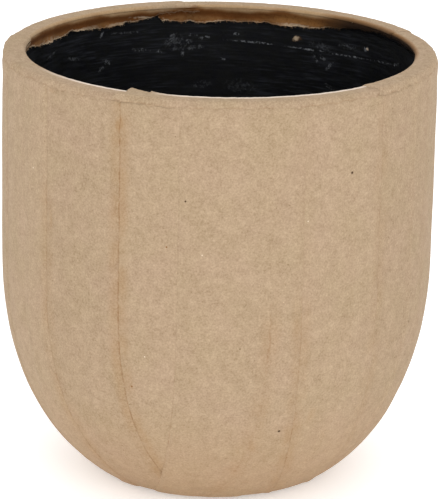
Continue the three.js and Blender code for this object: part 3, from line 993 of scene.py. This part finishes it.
# The columns stand closer together at the edges, where the paper bends most
wave = calc("SINE", flat_x * (2 * math.pi))
across = (wave * (EDGE_CROWDING / (2 * math.pi)) + (flat_x + 0.5)) * given["Width"]
section = shape_of(given["Section"])
row = row_of(flat_y, given["Section points"])
station = at_point(section, row, own_place())
tangent = at_point(section, row, add_node("GeometryNodeInputTangent"))
along = at_point(section, row, add_node("GeometryNodeSplineParameter")["Length"], data_type="FLOAT")
station_radius, _, station_height = parts(station)
radius = calc("MAXIMUM", station_radius, fold_radius)
# The leans come in with the narrowing: none at the full radius, all of it at the fold under the base
narrowing = ranged(1 / radius, 1 / bowl_radius, 1 / fold_radius, 0, 1, clamp=False)

# %% The strip tree: how far past another strip's edge
def past_edge(lean, turns, width):
    """Distance past the edge of a strip that stands some turns of the pitch away, along the arc."""
    return ((given["Lean"] - lean) * narrowing + turns) * radius + across - width


lift = 0
for n in range(1, NEIGHBOURS + 1):
    past = past_edge(given[f"Lean {n} to the right"], -n * STRIP_PITCH, 0)
    lift += eased(past, -RISE_WIDTH, 0, 0, 1) * calc("GREATER_THAN", given["Strips before"], n - 0.5)
# The last strips also lie over the right edges of the first two, and come down again past them
for first, lean in enumerate(("Lean of first", "Lean of second")):
    past = past_edge(given[lean], given["Turns to first"] + first * STRIP_PITCH, given["Width"])
    lift += eased(past, 0.5 * MM, RISE_WIDTH, 1, 0)

# %% The strip tree: lift the paper off the bowl
from_right = given["Width"] - across
to_edge = calc("MINIMUM", across, from_right)
thickness = eased(to_edge, 0, 0.5 * EDGE_PRESS_WIDTH, EDGE_THINNING * PAPER, PAPER)
# The glue line is a little thicker on the wall, so that the dents leave the pot as wide as it should be
below_rim = ranged(station_height, *STAND_OFF_ENDS, STAND_OFF, 0)
above_base = ranged(station_height, *STAND_OFF_STARTS, 0, 1)
lift = lift * LAYER + (below_rim * above_base + GLUE_GAP)
lift += eased(to_edge, 0, EDGE_PRESS_WIDTH, -EDGE_PRESS, 0)
lift += (flat_z + 0.5) * thickness
azimuth = (across - given["Width"] * 0.5) * (1 / radius) + (given["Lean"] * narrowing + given["Centre"])
azimuth -= math.pi / 2
foot = turned(station, azimuth)
# The outward normal is the section's tangent, turned by a quarter in the XZ plane
outward = turned(turned(tangent, math.pi / 2, axis=(0, 1, 0)), azimuth)
corner = vector_calc("ADD", foot, scaled(outward, lift + dent_at(foot)))

# %% [markdown]
# The paper also carries notes for its finish, as attributes: where a point lies on its own sheet, how far
# it is from the cut edges, its own and those of the strips beneath and on top, all in millimetres, and how
# much glue was squeezed out along each edge, where it dries brown.

# %% The strip tree: notes for the finish
# Up to its top a glue line is at full strength. Above it, this little is left.
GLUE_FADE = (-12 * MM, 8 * MM)
GLUE_LEFT = 0.12
# Degrees. Paper bends softly up to here, and has an edge from there on.
SOFT_BEND = 50
covered = past_edge(given["Lean to the left"], STRIP_PITCH, given["Width"])
ridge = past_edge(given["Lean 1 to the right"], -STRIP_PITCH, 0)
*seams, covered_strength = [
    ranged(station_height - given[edge + " glue top"], *GLUE_FADE, 1, GLUE_LEFT) * given[edge + " glue"]
    for edge in GLUED_EDGES]
# The notes are worked out on the flat block, so they are stored before it is bent
noted = with_notes(block, {
    "sheet": (across / MM, along / MM, given["Sheet number"]),
    "edges": (across / MM, from_right / MM, covered / MM),
    "seams": tuple(seams),
    "under": (ridge / MM, covered_strength, 0)})
sheet = add_node("GeometryNodeSetPosition", noted, True, corner)
finish_tree(smoothed(sheet, SOFT_BEND), given["Material"])

# %% Leans and glue of the strips
COLUMNS = 40
EVERYWHERE = POT_HEIGHT
HALF_WAY = 150 * MM
# How strongly the glue shows on a strip's right edge, and up to which height. The strips that the
# photograph doesn't show take turns between faint and clear.
RIGHT_EDGE_GLUE = {
    1: (1, EVERYWHERE), 2: (0.55, 214 * MM), 3: (0.15, HALF_WAY), 13: (0.35, EVERYWHERE),
    14: (0.8, HALF_WAY),
}
FAINT_AND_CLEAR = ((0.25, EVERYWHERE), (0.7, EVERYWHERE), (0.45, HALF_WAY))
LAST_LEFT_EDGE_GLUE = (0.6, 120 * MM)
LAST_RIDGE_GLUE = (0.5, HALF_WAY)
NO_GLUE = (0, 0)
face_guide = as_curve("outer_face", outer_face)


def lean_of(order):
    """The lean of a strip, counted round the pot past the first or the last one."""
    return STRIP_LEANS[order % STRIP_COUNT]


def right_glue(order):
    """Strength and top of the glue line on a strip's right edge."""
    return RIGHT_EDGE_GLUE.get(order, FAINT_AND_CLEAR[order % len(FAINT_AND_CLEAR)])


# %% Lay the fifteen strips
paper_strips = []
for order in range(STRIP_COUNT):
    settings = {
        "Section": face_guide, "Section points": len(outer_face), "Columns": COLUMNS,
        "Centre": FIRST_STRIP - order * STRIP_PITCH, "Width": STRIP_WIDTH, "Lean": lean_of(order),
        "Strips before": order, "Turns to first": (STRIP_COUNT - order) * STRIP_PITCH,
        "Lean to the left": lean_of(order + 1), "Lean of first": lean_of(0), "Lean of second": lean_of(1),
        "Sheet number": float(order), "Material": wall_paper,
    }
    last = order == STRIP_COUNT - 1
    glue = {
        "Right edge": right_glue(order),
        "Left edge": LAST_LEFT_EDGE_GLUE if last else NO_GLUE,
        "Ridge": LAST_RIDGE_GLUE if last else NO_GLUE,
        "Covered edge": NO_GLUE if last else right_glue(order + 1),
    }
    for edge, (strength, top) in glue.items():
        settings[edge + " glue"] = float(strength)
        settings[edge + " glue top"] = float(top)
    for n in range(1, NEIGHBOURS + 1):
        settings[f"Lean {n} to the right"] = lean_of(order - n)
    strip = grow(f"paper_strip_{order + 1:02d}", strips, settings)
    settle(strip, "kraft_paper", f"kraft_strip_{order + 1:02d}")
    paper_strips.append(strip)

# %% [markdown]
# ## Torn strips over the rim
# Five strips of the same paper, torn by hand, are folded from just below the shoulder over the lip and a
# little way down inside. Each one's left end lies over the right end of its neighbour. The work goes as for
# the upright strips, with a bent block, but here each column of the block ends at its own torn edge.

# %% The rim tree: along the rim and across the strip
RIM_TEAR_DEPTH = 0.8 * MM
# Wave length and share of the depth; then, for the fine fraying, size and depth
RIM_TEAR_WAVES = [(70 * MM, 0.5), (27 * MM, 0.3), (13.5 * MM, 0.2)]
FRAYING = [(6 * MM, 1.3 * MM), (1.9 * MM, 0.7 * MM)]
END_TEAR = 2.6 * MM
END_REACH = 20 * MM
RIM_ROWS = 64
# The last rows before the fold, of the fold and of the flap
RIM_ROW_MARKS = (20, 36, RIM_ROWS)
SHORTEST_FLAP = 0.5 * MM

rims, given = new_tree("torn_rim_strip", {
    "Section": "Object", "Flap lengths": "Object", "Wall": "Object", "Columns": "Int", "Rows": "Int",
    "Start": "Float", "Left slant": "Float", "Right slant": "Float", "Left shift": "Float",
    "Loose end": "Float", "Second ply": "Float", "Raggedness": "Float",
    "Number": "Float", "Sheet number": "Float", "Seed": "Int", "Material": "Material"})

# %% The rim tree: torn lines
block = add_node("GeometryNodeMeshCube", (1, 1, 1), given["Columns"] + 1, given["Rows"], 2)
share, down, side = [part + 0.5 for part in parts(own_place())]
from_left = share * (RIM_SPAN * POT_RADIUS)
from_right = RIM_SPAN * POT_RADIUS - from_left
along = given["Start"] * POT_RADIUS + from_left


def torn_line(place, number, waves, fraying):
    """How far a torn edge is out of line at a place along it."""
    out_of_line = 0
    for length, wave_share in waves:
        wave = calc("SINE", place * (2 * math.pi / length) + number)
        out_of_line += wave * (wave_share * RIM_TEAR_DEPTH)
    for size, depth in fraying:
        frayed = line_noise(place, size, number, 2, Roughness=0.6)
        out_of_line += ranged(frayed, 0.25, 0.75, -depth / 2, depth / 2)
    return out_of_line


# %% The rim tree: rows from the skirt to the flap
flap_number = given["Number"] + 2
skirt = torn_line(along, given["Number"], RIM_TEAR_WAVES, FRAYING) + skirt_length
column = calc("ROUND", share * given["Columns"])
_, _, flap = parts(at_point(shape_of(given["Flap lengths"]), column, own_place()))
flap += torn_line(along, flap_number, [], FRAYING) * given["Raggedness"]
flap += torn_line(along, flap_number, RIM_TEAR_WAVES, [])
flap += lip_length
# The rows keep to the fold over the mouth, so that a torn edge doesn't crease it
fold_end = calc("MINIMUM", flap - SHORTEST_FLAP, lip_length - LIP_BEND_REACH)
distance = skirt
first_row = 0
for row, row_distance in zip(RIM_ROW_MARKS, (mouth_start - 0.5 * MM, fold_end, flap)):
    distance = mixed(ranged(down, first_row / RIM_ROWS, row / RIM_ROWS, 0, 1), distance, row_distance)
    first_row = row

# %% The rim tree: torn ends
END_FRAYING = [(4.5 * MM, END_TEAR), (1.4 * MM, 0.4 * END_TEAR)]


def torn_end(away, slant, shift, number):
    """How far a torn end is moved along the rim. The move fades out away from the end."""
    ragged = torn_line(distance, given["Number"] + number, [], END_FRAYING)
    return ((distance - mouth_length) * slant + ragged + shift) * ranged(away, 0, END_REACH, 1, 0)


left_end = torn_end(from_left, given["Left slant"], given["Left shift"], 11)
right_end = torn_end(from_right, given["Right slant"], 0, 23)
azimuth = (along + (left_end + right_end)) / POT_RADIUS - math.pi / 2

# %% The rim tree: how far the paper stands off
PRESS_WIDTH = 3.2 * MM
TORN_THICKNESS = 0.15
CURL_RADIUS = 28 * MM
CURL_SIZE = 19 * MM
LAP_END = 10 * MM
LOOSE_LENGTH = 24 * MM
PLY_START = 21.5 * MM
PLY_LENGTH = 15 * MM

# %% The rim tree: lift and loose end
from_skirt = distance - skirt
from_flap = flap - distance
past_lip = distance - lip_length
from_ends = calc("MINIMUM", from_left, from_right)
from_tear = calc("MINIMUM", calc("MINIMUM", from_skirt, from_flap), from_ends)
thickness = eased(from_tear, 0, 1.8 * MM, TORN_THICKNESS * PAPER, PAPER)
on_lap = eased(from_left, RIM_LAP, RIM_LAP + LAP_END, LAYER, 0)
lift = ranged(share, 0, 1, LAYER * RIM_SPAN / RIM_PITCH, 0) + GLUE_GAP
# The torn outer edge and both ends are pressed flat
to_pressed = calc("MINIMUM", from_skirt, from_ends)
lift += eased(to_pressed, 0, PRESS_WIDTH, -0.8 * GLUE_GAP, 0)
# A flap that isn't pressed down curls away from the wall, here less and there more
least, most = 0.2 / (2 * CURL_RADIUS), 2 / (2 * CURL_RADIUS)
curl = calc("POWER", calc("MAXIMUM", past_lip, 0), 2)
lift += curl * ranged(line_noise(along, CURL_SIZE, flap_number, 1), 0.3, 0.7, least, most)
# The loose left end stands in over the mouth, and its upper ply starts a little further on
ply = ranged(from_left + left_end, PLY_START, PLY_START + 0.8 * MM, 0, 1)
ply *= eased(from_left, PLY_START, PLY_START + PLY_LENGTH, 1, 0)
at_fold = ranged(distance, mouth_start - 0.3 * MM, mouth_start + 0.7 * MM, 0, 1)
loose = ranged(from_left, 0, LOOSE_LENGTH, 1, 0) * given["Loose end"]
loose = (ply * given["Second ply"] + loose) * at_fold

# %% The rim tree: wrinkles
WRINKLE_DEPTH = 0.25 * MM
WRINKLE_WIDTH = 4.5 * MM
WRINKLE_LENGTH = 11 * MM
on_sheet = vector(along, distance, given["Number"])
stretched = vector_calc("MULTIPLY", on_sheet, (1 / WRINKLE_WIDTH, 1 / WRINKLE_LENGTH, 5))
held = ranged(to_pressed, 0.5 * PRESS_WIDTH, 3 * PRESS_WIDTH, 0.15, 0.8)
lift += ranged(noise(stretched, 1, 2), 0.3, 0.7, -WRINKLE_DEPTH, 0) * held

sample = add_node("GeometryNodeSampleCurve", shape_of(given["Section"]), named={"Length": distance},
                  mode="LENGTH", use_all_curves=True)
foot = turned(sample["Position"], azimuth)
heading = turned(sample["Tangent"], azimuth)
outward = turned(turned(sample["Tangent"], math.pi / 2, axis=(0, 1, 0)), azimuth)
lift += dent_at(foot)

# %% [markdown]
# Near its torn outer edge the paper was rubbed down onto the wall, so it follows the upright strips under
# it. A ray from outside finds how deep their surface lies, and the strip comes down to it at the edge.

# %% The rim tree: rubbed down on the wall
PROBE_HEIGHT = 2 * MM
PROBE_REACH = 8 * MM
RUBBED_GAP = 0.05 * MM
# Distances from the torn edge where the rubbing wanes and ends
RUBBED_WIDTH = (0.6 * MM, 5 * MM)
# Share of a layer by which a rubbed edge is lifted where it lies on the next rim strip
LAP_RISE = 0.65
# The loose end stands in, turned by this much from the way to the axis
TEAR_LEAN = math.radians(27)

# %% The rim tree: the bent sheet
probe = vector_calc("ADD", foot, scaled(outward, PROBE_HEIGHT))
ray = add_node("GeometryNodeRaycast", named={
    "Target Geometry": shape_of(given["Wall"]), "Source Position": probe,
    "Ray Direction": scaled(outward, -1), "Ray Length": PROBE_REACH})
rubbed_lift = on_lap * LAP_RISE + (PROBE_HEIGHT + RUBBED_GAP - ray["Hit Distance"])
rubbed_and_painted_light = eased(from_skirt, *RUBBED_WIDTH, 1, 0) * ray["Is Hit"]
lift = side * thickness + mixed(rubbed_and_painted_light, lift, rubbed_lift)
corner = vector_calc("ADD", foot, scaled(outward, lift))
to_axis = turned((-1, 0, 0), azimuth + TEAR_LEAN)
corner = vector_calc("ADD", corner, scaled(to_axis, loose))
noted = with_notes(block, {
    "sheet": (along / MM, distance / MM, given["Sheet number"]),
    "torn": (from_skirt / MM, from_flap / MM, past_lip / MM),
    "ends": (from_left / MM, 0, 0),
    "heading": heading})
sheet = add_node("GeometryNodeSetPosition", noted, True, corner)

# %% [markdown]
# A torn edge is never clean: loose fibres stand out of it. They are scattered on the narrow border of the
# flap, point off the edge and lean at random. Real fibres are 0.03 mm thick, too fine to show, so these
# are drawn 0.16 mm thick.

# %% The rim tree: loose fibres
# Millimetres from the torn edge
FIBRE_BORDER = 0.8
FIBRES_PER_SQUARE_MM = 1.3
LOOSE_FIBRE_LENGTH = 1.7 * MM
LOOSE_FIBRE_RADIUS = 0.08 * MM
# Share of its length that a fibre is pushed out by, and by which it bows
FIBRE_OUT = 0.35
FIBRE_BOW = 0.35
FIBRE_TILT = 0.9
FIBRE_TURN = 6.28
FIBRE_SIZES = {"Min_001": 0.35, "Max_001": 1.15}

# %% The rim tree: fibres on the torn edge
torn_note = add_node("GeometryNodeInputNamedAttribute", "torn", data_type="FLOAT_VECTOR")
border = add_node("FunctionNodeCompare", parts(torn_note)[1], FIBRE_BORDER, operation="LESS_THAN")
roots = add_node("GeometryNodeDistributePointsOnFaces", sheet, border, named={
    "Density": FIBRES_PER_SQUARE_MM / MM ** 2, "Seed": given["Seed"]})
fibre = add_node("GeometryNodeMeshCylinder", 3, 4, 1, LOOSE_FIBRE_RADIUS, LOOSE_FIBRE_LENGTH)
fibre_x, fibre_y, fibre_z = parts(own_place())
height = fibre_z + FIBRE_OUT * LOOSE_FIBRE_LENGTH
bow = height * height * (FIBRE_BOW / LOOSE_FIBRE_LENGTH) + fibre_x
fibre = add_node("GeometryNodeSetPosition", fibre, True, vector(bow, fibre_y, height))
off_edge = add_node("GeometryNodeInputNamedAttribute", "heading", data_type="FLOAT_VECTOR")
pointing = add_node("FunctionNodeAlignRotationToVector", named={"Vector": off_edge}, axis="Z")
tilt = add_node("FunctionNodeRandomValue", (-FIBRE_TILT, -FIBRE_TILT, 0),
                (FIBRE_TILT, FIBRE_TILT, FIBRE_TURN), data_type="FLOAT_VECTOR")
pointing = add_node("FunctionNodeRotateRotation", pointing, tilt, rotation_space="LOCAL")
size = add_node("FunctionNodeRandomValue", named=FIBRE_SIZES, data_type="FLOAT")
hairs = add_node("GeometryNodeInstanceOnPoints", roots, named={
    "Instance": fibre, "Rotation": pointing, "Scale": size})
joined = add_node("GeometryNodeJoinGeometry", smoothed(sheet, SOFT_BEND))
rims.links.new(hairs.socket, joined.node.inputs["Geometry"])
finish_tree(joined, given["Material"])

# %% Flaps and ends of the rim strips
RIM_COLUMNS = 280
# Length of each flap in millimetres past the lip's face, at even steps from its left to its right end
RIM_FLAP_LENGTHS = [
    [3, 2, 2.5, 3.5, 3, 2, 1.5, 2, 1.5],
    [1, 0.6, 0.2, -0.3, -0.4, -0.2, 0.4, 0.3, 0.3],
    [0.6, -0.2, 0.5, 1.3, 2.9, 5.9, 7.6, 8.6, 8.1, 8.1, 7.8, 9.2, 8.1, 9.1, 8.2, 7.4, 8],
    [1, 0.4, 2.4, 5.6, 6.4, 7.3, 8.6, 7.7, 6.1, 8.3, 8.9, 8.6, 7.4, 5, 4, 3.4, 3],
    [4, 3.5, 5, 4, 3, 2.5, 3.5, 3, 3],
]
# Slants of the left and right ends, shift of the left end, how far it bulges at the mouth, its second
# ply and how ragged the flap is
RIM_ENDS = [
    (0.5, -0.3, 7, 7, 4.0, 0.6), (-0.2, 0.2, 0, 0, 0, 0.4), (0.3, -0.85, 0, 0.3, 0, 0.55),
    (-0.9, 0.3, 0, 0.2, 0, 0.9), (0.3, 0.2, 0, 0.5, 0, 0.8),
]

# %% Helpers for the rim strips
def between(values, share):
    """A value from a list of values at even steps, at a share of the way through it."""
    place = share * (len(values) - 1)
    before = min(int(place), len(values) - 2)
    return values[before] + (values[before + 1] - values[before]) * (place - before)


def gathered(name, pieces):
    """One guide that holds the meshes of several pieces."""
    shape = bmesh.new()
    for piece in pieces:
        shape.from_mesh(piece.data)
    mesh = bpy.data.meshes.new(name)
    shape.to_mesh(mesh)
    shape.free()
    guide = add_object(name, mesh)
    guides.append(guide)
    return guide


# %% Fold the five strips over the rim
rim_guide = as_curve("rim_face", rim_face)
wall_guide = gathered("wall", paper_strips)
for number, (flap_lengths, ends) in enumerate(zip(RIM_FLAP_LENGTHS, RIM_ENDS)):
    left_slant, right_slant, left_shift, bulge, ply, raggedness = ends
    line = [(0, between(flap_lengths, i / RIM_COLUMNS) * MM) for i in range(RIM_COLUMNS + 1)]
    strip = grow(f"rim_paper_{number + 1}", rims, {
        "Section": rim_guide, "Wall": wall_guide,
        "Flap lengths": as_curve(f"flap_lengths_{number + 1}", line),
        "Columns": RIM_COLUMNS, "Rows": RIM_ROWS + 1,
        "Start": RIM_FIRST_JOINT + number * RIM_PITCH - (RIM_SPAN - RIM_PITCH) / 2,
        "Left slant": left_slant, "Right slant": right_slant, "Left shift": left_shift * MM,
        "Loose end": bulge * MM, "Second ply": ply * MM, "Raggedness": raggedness, "Number": float(number),
        "Sheet number": 31.0 + number, "Seed": number + 1, "Material": rim_paper})
    settle(strip, "rim_paper", f"rim_strip_{number + 1}")

# %% [markdown]
# ## Camera
# The camera stands about two metres away and a little above the rim, as for a catalogue picture, with a
# long lens. The picture is turned by one degree, as the photograph is.

# %% Camera
CAMERA_PLACE = (2.5 * MM, -2003 * MM, 762.5 * MM)
CAMERA_AIM_HEIGHT = 144.7 * MM
PICTURE_TURN = math.radians(1.15)
PICTURE_HEIGHT_PX = 499
FOCAL_LENGTH_PX = 3218.3

camera_data = bpy.data.cameras.new("camera")
camera = add_object("camera", camera_data)
scene.camera = camera
camera_data.sensor_width = 36
camera_data.lens = FOCAL_LENGTH_PX / PICTURE_HEIGHT_PX * camera_data.sensor_width
camera.location = CAMERA_PLACE
drop = math.atan2(CAMERA_PLACE[2] - CAMERA_AIM_HEIGHT, -CAMERA_PLACE[1])
camera.rotation_euler = (math.pi / 2 - drop, 0, 0)
camera.rotation_euler.rotate_axis("Z", PICTURE_TURN)
print("The camera looks down by", round(math.degrees(drop), 2), "degrees")

# %% [markdown]
# ## Light and floor
# The pot is shown on plain white without a shadow, and its base is as bright as its wall. So it stands on
# a white light table that glows a little, under a white sky. A soft light from the front right gives the
# wall a little roundness, and weaker ones light the rim from above and the base from low down.

# %% Sizes and strengths of the lights
TABLE_SIZE = 60
TABLE_GLOW = 0.36
# Place and size in metres, power in watts, and the height that the light faces
SOFT_LIGHTS = {
    "key": ((0.4, -2.3, 1.3), 1.8, 9, 0.14),
    "top": ((0, -0.4, 2.2), 1.6, 5, 0.14),
    "low fill": ((0.1, -2, 0.3), 1.4, 3, 0.05),
}

# %% The light table
reach = TABLE_SIZE / 2
mesh = bpy.data.meshes.new("floor")
mesh.from_pydata([(-reach, -reach, 0), (reach, -reach, 0), (reach, reach, 0), (-reach, reach, 0)], [],
                 [(0, 1, 2, 3)])
floor = add_object("floor", mesh)
mesh.materials.append(new_material("white_acrylic_light_table"))
shader = add_node("ShaderNodeBsdfPrincipled", colour("#fbfbfb"), named={
    "Roughness": 0.9, "Emission Color": (1, 1, 1, 1), "Emission Strength": TABLE_GLOW})
add_node("ShaderNodeOutputMaterial", shader)

# %% The white sky and the soft lights
scene.world = bpy.data.worlds.new("white_studio")
scene.world.use_nodes = True
background = scene.world.node_tree.nodes["Background"]
background.inputs["Color"].default_value = (1, 1, 1, 1)
background.inputs["Strength"].default_value = 1
for name, (place, size, watts, aim_height) in SOFT_LIGHTS.items():
    lamp = bpy.data.lights.new(name, "AREA")
    lamp.size = size
    lamp.energy = watts
    light = add_object(name, lamp)
    light.location = place
    away = math.hypot(place[0], place[1])
    light.rotation_euler = (math.pi / 2 + math.atan2(aim_height - place[2], away), 0,
                            math.atan2(place[0], -place[1]))
scene.view_settings.view_transform = "Standard"

# %% [markdown]
# ## Finish
# The guides have done their work and go.

# %% Clear the guides and finish
for guide in guides:
    bpy.data.objects.remove(guide)
